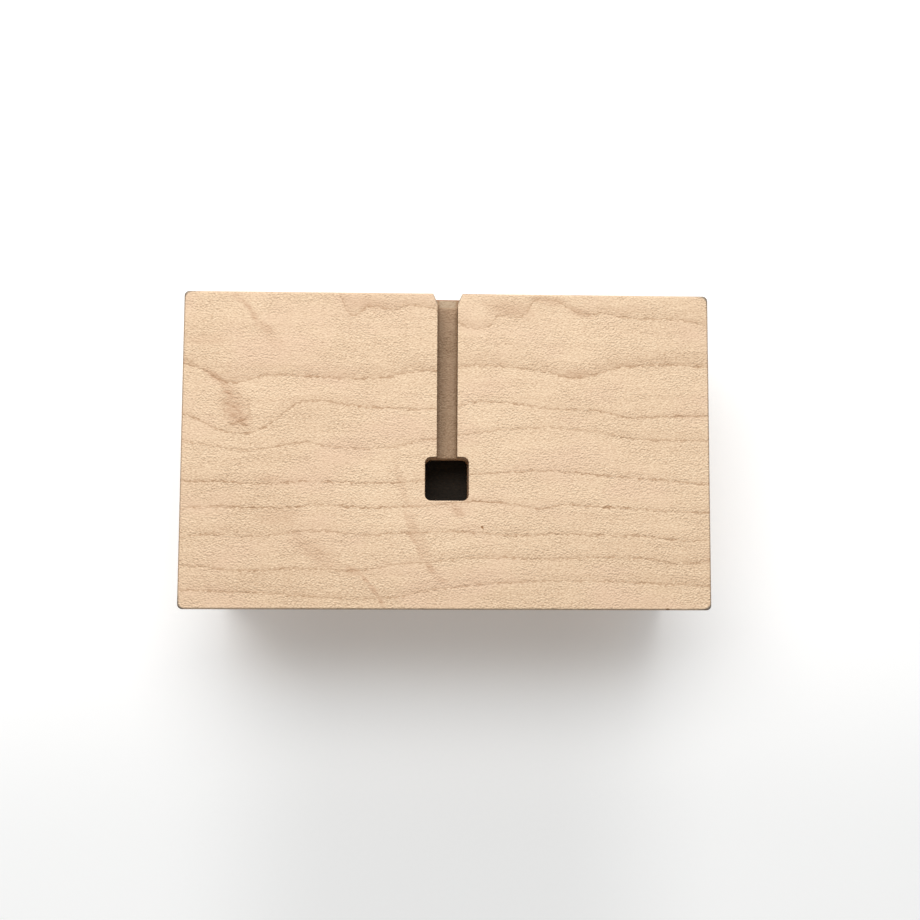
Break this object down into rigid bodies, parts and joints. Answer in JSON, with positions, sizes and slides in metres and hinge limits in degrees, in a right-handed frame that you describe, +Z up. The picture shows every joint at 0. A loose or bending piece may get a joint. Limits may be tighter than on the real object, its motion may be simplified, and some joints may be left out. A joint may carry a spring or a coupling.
{
  "type": "wooden puzzle box",
  "caption": "Lidded maple box with a square well and a tool groove in its top; a hidden slider drives bolts that lock the lift-off lid, and loose pins block it when turned over.",
  "frame": {"origin": "centre of the underside of the bottom board", "axes": "+X along the length, +Y from the plain front edge to the back edge where the groove comes out, +Z up through the lid"},
  "size_m": [0.127, 0.0762, 0.0508],
  "materials": {
    "lid_maple": "fine-sanded bare maple",
    "case_maple": "fine-sanded bare maple",
    "inner_maple": "sawn and planed maple",
    "stained_maple": "stained black",
    "brass": "satin",
    "pin_steel": "ground",
    "magnet_plating": "nickel plated",
    "black_felt": "felt"
  },
  "bodies": {
    "case": {"bottom_board": "case_maple", "front_wall": "case_maple", "back_wall": "case_maple", "left_wall": "case_maple", "right_wall": "case_maple", "corner_splines": "inner_maple", "bottom_screws": "brass", "felt_lining": "black_felt"},
    "lid": {"lid_slab": "lid_maple", "slider_frame": "inner_maple", "bolt_board": "inner_maple", "lid_screws": "brass", "detent_magnets": "magnet_plating"},
    "slider": {"lock_slider": "stained_maple", "slider_magnet": "magnet_plating"},
    "left_drawbolt": {"left_bolt": "brass", "left_follower_pin": "pin_steel"},
    "right_drawbolt": {"right_bolt": "brass", "right_follower_pin": "pin_steel"},
    "left_drop_pin": {"left_gravity_pin": "pin_steel"},
    "right_drop_pin": {"right_gravity_pin": "pin_steel"}
  },
  "joints": [
    {"name": "lid_lift", "type": "slide", "parent": "case", "child": "lid", "axis": [0, 0, 1], "range_m": [0, 0.06]},
    {"name": "lock_slide", "type": "slide", "parent": "lid", "child": "slider", "axis": [0, 1, 0], "range_m": [0, 0.006]},
    {"name": "left_bolt_slide", "type": "slide", "parent": "lid", "child": "left_drawbolt", "axis": [-1, 0, 0], "range_m": [0, 0.006]},
    {"name": "right_bolt_slide", "type": "slide", "parent": "lid", "child": "right_drawbolt", "axis": [1, 0, 0], "range_m": [0, 0.006]},
    {"name": "left_pin_drop", "type": "slide", "parent": "lid", "child": "left_drop_pin", "axis": [0, 0, 1], "range_m": [0, 0.0043]},
    {"name": "right_pin_drop", "type": "slide", "parent": "lid", "child": "right_drop_pin", "axis": [0, 0, 1], "range_m": [0, 0.0043]}
  ],
  "couplings": [
    {"joint": "left_bolt_slide", "follows": "lock_slide", "ratio": 1},
    {"joint": "right_bolt_slide", "follows": "lock_slide", "ratio": 1}
  ]
}
